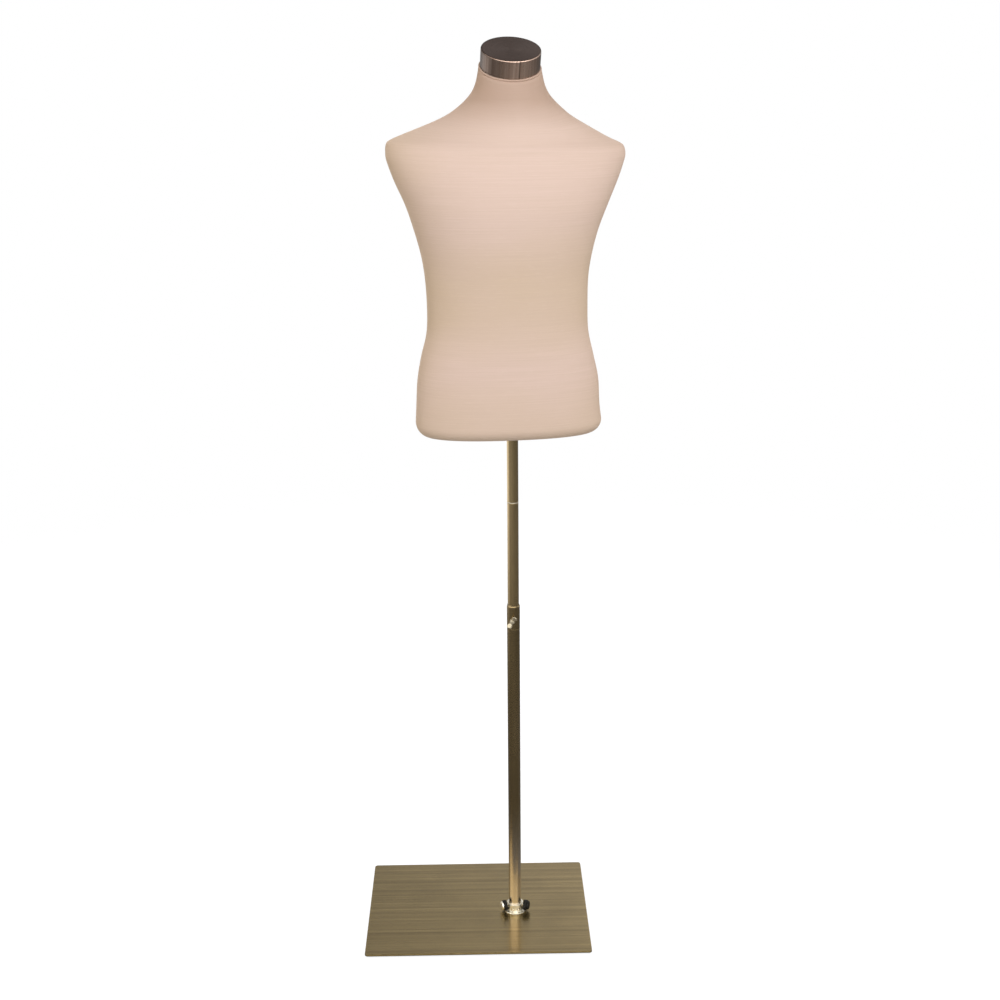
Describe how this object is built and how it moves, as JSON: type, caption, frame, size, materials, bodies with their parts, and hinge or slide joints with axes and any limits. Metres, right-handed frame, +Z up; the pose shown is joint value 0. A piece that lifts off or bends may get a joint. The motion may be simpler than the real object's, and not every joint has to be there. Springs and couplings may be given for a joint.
{
  "type": "display mannequin torso",
  "caption": "Headless male half-body display mannequin in jersey on a height-adjustable brass pole with a flat rectangular base plate.",
  "frame": {"origin": "middle of the base plate on the floor, on the underside of its felt", "axes": "+Z up along the pole, -Y towards the front of the base plate, +X to the right as seen from the front"},
  "size_m": [0.506, 0.344, 1.7247],
  "materials": {
    "jersey": "smooth matte knitted jersey over thin foam",
    "cap_metal": "brushed brown plating",
    "pole_metal": "antique brass plating, brushed lengthwise",
    "plate_metal": "antique brass plating, brushed across the plate",
    "bright_metal": "bright pale brass",
    "black_plastic": "black moulded",
    "bush_plastic": "moulded, coloured to match the pole",
    "nylon": "natural nylon",
    "hardware_steel": "zinc plated",
    "fibreglass": "moulded fibreglass",
    "board": "bare fibreboard",
    "felt": "thin felt"
  },
  "bodies": {
    "stand": {"base_plate": "plate_metal", "base_felt": "felt", "base_socket": "bright_metal", "set_screw_left": "bright_metal", "set_screw_right": "bright_metal", "socket_bolt": "hardware_steel", "socket_washer": "hardware_steel", "socket_nut": "hardware_steel", "lower_pole": "pole_metal", "clamp_fitting": "pole_metal", "fitting_bush": "bush_plastic"},
    "pole": {"upper_pole_bottom": "pole_metal", "upper_pole_top": "pole_metal", "joint_ring": "bright_metal", "joint_stud": "hardware_steel", "pole_guide_bush": "black_plastic", "pole_top_plug": "black_plastic"},
    "torso": {"fabric_cover": "jersey", "torso_shell_front": "fibreglass", "torso_shell_back": "fibreglass", "base_board": "board", "pole_socket": "hardware_steel", "socket_screw_1": "hardware_steel", "socket_screw_2": "hardware_steel", "socket_screw_3": "hardware_steel", "socket_screw_4": "hardware_steel", "thrust_pad": "nylon", "neck_plug": "board", "neck_insert": "hardware_steel"},
    "neck_cap": {"neck_cap_band": "cap_metal", "neck_cap_top": "cap_metal", "neck_cap_core": "board", "neck_cap_peg": "hardware_steel", "neck_cap_nut": "hardware_steel"},
    "wing_pad": {"wing_screw_pad": "nylon"},
    "wing_screw": {"wing_screw": "bright_metal"},
    "left_pad": {"thumb_pad_left": "nylon"},
    "left_thumb_screw": {"thumb_shaft_left": "bright_metal", "thumb_knob_left": "black_plastic", "thumb_cap_left": "bright_metal"},
    "right_pad": {"thumb_pad_right": "nylon"},
    "right_thumb_screw": {"thumb_shaft_right": "bright_metal", "thumb_knob_right": "black_plastic", "thumb_cap_right": "black_plastic"}
  },
  "joints": [
    {"name": "pole_height", "type": "slide", "parent": "stand", "child": "pole", "axis": [0, 0, 1], "range_m": [-0.3, 0.15]},
    {"name": "torso_swivel", "type": "hinge", "parent": "pole", "child": "torso", "pos_m": [0.076, -0.013, 1.109], "axis": [0, 0, 1], "continuous": true},
    {"name": "neck_cap_lift", "type": "slide", "parent": "torso", "child": "neck_cap", "axis": [0.0505, -0.4116, 0.91], "range_m": [0, 0.06]},
    {"name": "wing_pad_slide", "type": "slide", "parent": "stand", "child": "wing_pad", "axis": [-0.1219, -0.9925, 0], "range_m": [0, 0.0021]},
    {"name": "wing_screw_turn", "type": "hinge", "parent": "wing_pad", "child": "wing_screw", "pos_m": [0.076, -0.013, 0.644], "axis": [-0.1219, -0.9925, 0], "range_deg": [0, 720]},
    {"name": "left_pad_slide", "type": "slide", "parent": "stand", "child": "left_pad", "axis": [-0.9511, -0.309, 0], "range_m": [0, 0.0021]},
    {"name": "left_thumb_turn", "type": "hinge", "parent": "left_pad", "child": "left_thumb_screw", "pos_m": [0.076, -0.013, 0.0185], "axis": [-0.9511, -0.309, 0], "range_deg": [0, 720]},
    {"name": "right_pad_slide", "type": "slide", "parent": "stand", "child": "right_pad", "axis": [0.9511, -0.309, 0], "range_m": [0, 0.0021]},
    {"name": "right_thumb_turn", "type": "hinge", "parent": "right_pad", "child": "right_thumb_screw", "pos_m": [0.076, -0.013, 0.0185], "axis": [0.9511, -0.309, 0], "range_deg": [0, 720]}
  ],
  "couplings": [
    {"joint": "wing_pad_slide", "follows": "wing_screw_turn", "m_per_rad": 0.00015915},
    {"joint": "left_pad_slide", "follows": "left_thumb_turn", "m_per_rad": 0.00015915},
    {"joint": "right_pad_slide", "follows": "right_thumb_turn", "m_per_rad": 0.00015915}
  ]
}
